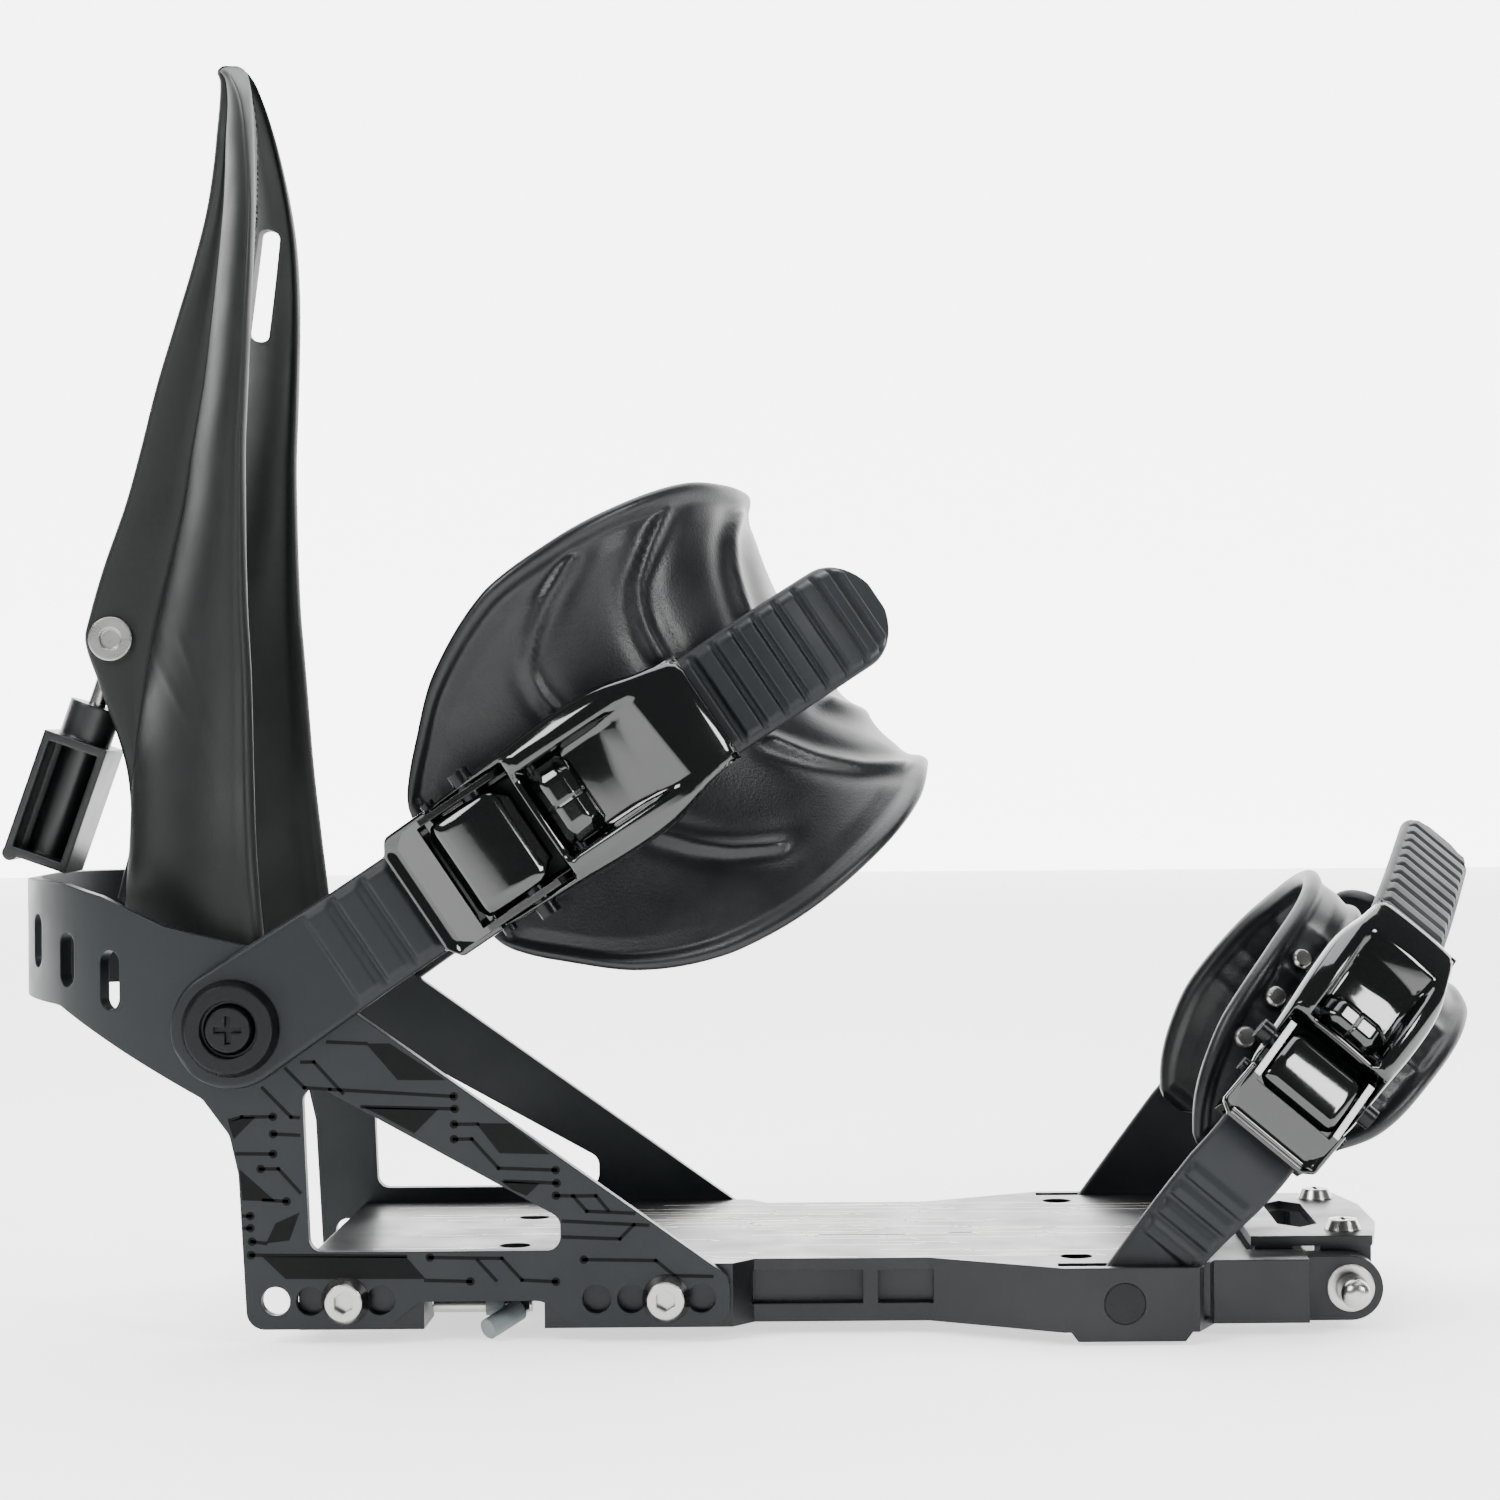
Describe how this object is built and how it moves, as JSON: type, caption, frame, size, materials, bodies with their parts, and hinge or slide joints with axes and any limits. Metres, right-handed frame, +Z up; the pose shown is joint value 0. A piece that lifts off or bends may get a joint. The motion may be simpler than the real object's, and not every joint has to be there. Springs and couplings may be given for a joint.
{
  "type": "splitboard snowboard binding",
  "caption": "Splitboard binding with machined baseplate, bent heel loop, folding highback, ankle and toe straps with ratchet buckles, and a sprung toe pin.",
  "frame": {"origin": "middle of the puck channel, on the plane that the binding rests on", "axes": "+X to the toe along the puck channel, +Y to the far side, +Z up; the straps buckle on the -Y side"},
  "size_m": [0.3392, 0.1303, 0.2833],
  "materials": {
    "anodised_black": "satin black anodised",
    "anodised_deck": "satin black anodised, machined top",
    "moulded_highback": "satin moulded nylon",
    "adjuster_plastic": "satin moulded nylon",
    "strap_tpu": "satin moulded polyurethane",
    "pad_foam": "semi-gloss thermoformed",
    "buckle_gloss": "gloss black",
    "stainless": "stainless steel",
    "black_oxide": "black oxide steel",
    "pin_steel": "polished steel",
    "zinc_wire": "zinc plated",
    "cap_grey": "moulded grey cap"
  },
  "bodies": {
    "base": {"baseplate": "anodised_deck", "heel_loop": "anodised_black", "heel_loop_screws": "stainless", "ankle_washers": "adjuster_plastic", "ankle_screws": "black_oxide", "ankle_nuts": "stainless", "toe_trunnions": "anodised_black", "toe_pin_bushes": "pin_steel"},
    "highback": {"highback": "moulded_highback", "lean_pin": "stainless"},
    "lean_adjuster": {"lean_rod": "stainless"},
    "lean_block": {"lean_block": "adjuster_plastic"},
    "ankle_strap": {"ankle_ladder": "strap_tpu", "ankle_far_strap": "strap_tpu", "ankle_pad": "pad_foam", "ankle_buckle_frame": "buckle_gloss", "ankle_buckle_studs": "black_oxide", "ankle_buckle_rivets": "black_oxide", "ankle_pad_screws": "stainless"},
    "ankle_lever": {"ankle_buckle_lever": "buckle_gloss", "ankle_buckle_lever_axle": "black_oxide", "ankle_buckle_driver_pin": "black_oxide"},
    "ankle_driver": {"ankle_buckle_driver": "buckle_gloss"},
    "ankle_release": {"ankle_buckle_release": "buckle_gloss"},
    "toe_strap": {"toe_ladder": "strap_tpu", "toe_far_strap": "strap_tpu", "toe_pad": "pad_foam", "toe_buckle_frame": "buckle_gloss", "toe_buckle_studs": "black_oxide", "toe_buckle_rivets": "black_oxide", "toe_pad_screws": "stainless", "toe_rivets": "stainless"},
    "toe_lever": {"toe_buckle_lever": "buckle_gloss", "toe_buckle_lever_axle": "black_oxide", "toe_buckle_driver_pin": "black_oxide"},
    "toe_driver": {"toe_buckle_driver": "buckle_gloss"},
    "toe_release": {"toe_buckle_release": "buckle_gloss"},
    "snap_ramp": {"snap_ramp": "anodised_deck", "ramp_screws": "stainless"},
    "toe_pin_near": {"toe_pin_near": "pin_steel"},
    "toe_pin_far": {"toe_pin_far": "pin_steel"},
    "heel_wire_near": {"heel_wire_near": "zinc_wire", "heel_wire_sleeve_near": "anodised_black", "heel_wire_cap_near": "cap_grey"},
    "heel_wire_far": {"heel_wire_far": "zinc_wire", "heel_wire_sleeve_far": "anodised_black", "heel_wire_cap_far": "cap_grey"}
  },
  "joints": [
    {"name": "highback_fold", "type": "hinge", "parent": "base", "child": "highback", "pos_m": [-0.1251, 0, 0.0677], "axis": [0, 1, 0], "range_deg": [0, 30]},
    {"name": "lean_adjuster_flip", "type": "hinge", "parent": "highback", "child": "lean_adjuster", "pos_m": [-0.1605, 0, 0.1524], "axis": [0, 1, 0], "range_deg": [0, 60]},
    {"name": "lean_setting", "type": "slide", "parent": "lean_adjuster", "child": "lean_block", "axis": [0.3338, 0, 0.9426], "range_m": [0, 0.003]},
    {"name": "ankle_strap_swing", "type": "hinge", "parent": "base", "child": "ankle_strap", "pos_m": [-0.1251, 0, 0.0677], "axis": [0, 1, 0], "range_deg": [-22, 18]},
    {"name": "ankle_lever_lift", "type": "hinge", "parent": "ankle_strap", "child": "ankle_lever", "pos_m": [-0.06563, -0.0628, 0.10721], "axis": [0.5534, 0, -0.8329], "range_deg": [0, 70]},
    {"name": "ankle_driver_click", "type": "hinge", "parent": "ankle_lever", "child": "ankle_driver", "pos_m": [-0.0543, -0.0638, 0.11474], "axis": [0.5534, 0, -0.8329], "range_deg": [0, 12], "stiffness_Nm_per_rad": 0.02, "springref_deg": -17.19},
    {"name": "ankle_release_press", "type": "hinge", "parent": "ankle_strap", "child": "ankle_release", "pos_m": [-0.06563, -0.0628, 0.10721], "axis": [0.5534, 0, -0.8329], "range_deg": [0, 14], "stiffness_Nm_per_rad": 0.05, "springref_deg": -17.19},
    {"name": "toe_strap_swing", "type": "hinge", "parent": "base", "child": "toe_strap", "pos_m": [0.0656, 0, 0.0081], "axis": [0, 1, 0], "range_deg": [-14, 7]},
    {"name": "toe_lever_lift", "type": "hinge", "parent": "toe_strap", "child": "toe_lever", "pos_m": [0.10644, -0.06106, 0.05677], "axis": [0.766, 0, -0.6428], "range_deg": [0, 70]},
    {"name": "toe_driver_click", "type": "hinge", "parent": "toe_lever", "child": "toe_driver", "pos_m": [0.11323, -0.05735, 0.06486], "axis": [0.766, 0, -0.6428], "range_deg": [0, 12], "stiffness_Nm_per_rad": 0.02, "springref_deg": -17.19},
    {"name": "toe_release_press", "type": "hinge", "parent": "toe_strap", "child": "toe_release", "pos_m": [0.10644, -0.06106, 0.05677], "axis": [0.766, 0, -0.6428], "range_deg": [0, 14], "stiffness_Nm_per_rad": 0.05, "springref_deg": -17.19},
    {"name": "snap_ramp_lift", "type": "hinge", "parent": "base", "child": "snap_ramp", "pos_m": [0.116, 0, 0.0083], "axis": [0, 1, 0], "range_deg": [0, 80]},
    {"name": "toe_pin_near_slide", "type": "slide", "parent": "base", "child": "toe_pin_near", "axis": [0, 1, 0], "range_m": [0, 0.007]},
    {"name": "toe_pin_far_slide", "type": "slide", "parent": "base", "child": "toe_pin_far", "axis": [0, -1, 0], "range_m": [0, 0.007]},
    {"name": "heel_wire_near_swing", "type": "hinge", "parent": "base", "child": "heel_wire_near", "pos_m": [-0.07, -0.041, 0.0056], "axis": [-1, 0, 0], "range_deg": [0, 20]},
    {"name": "heel_wire_far_swing", "type": "hinge", "parent": "base", "child": "heel_wire_far", "pos_m": [-0.07, 0.041, 0.0056], "axis": [1, 0, 0], "range_deg": [0, 20]}
  ],
  "couplings": [
    {"joint": "toe_pin_near_slide", "follows": "snap_ramp_lift", "m_per_rad": 0.005},
    {"joint": "toe_pin_far_slide", "follows": "snap_ramp_lift", "m_per_rad": 0.005}
  ]
}
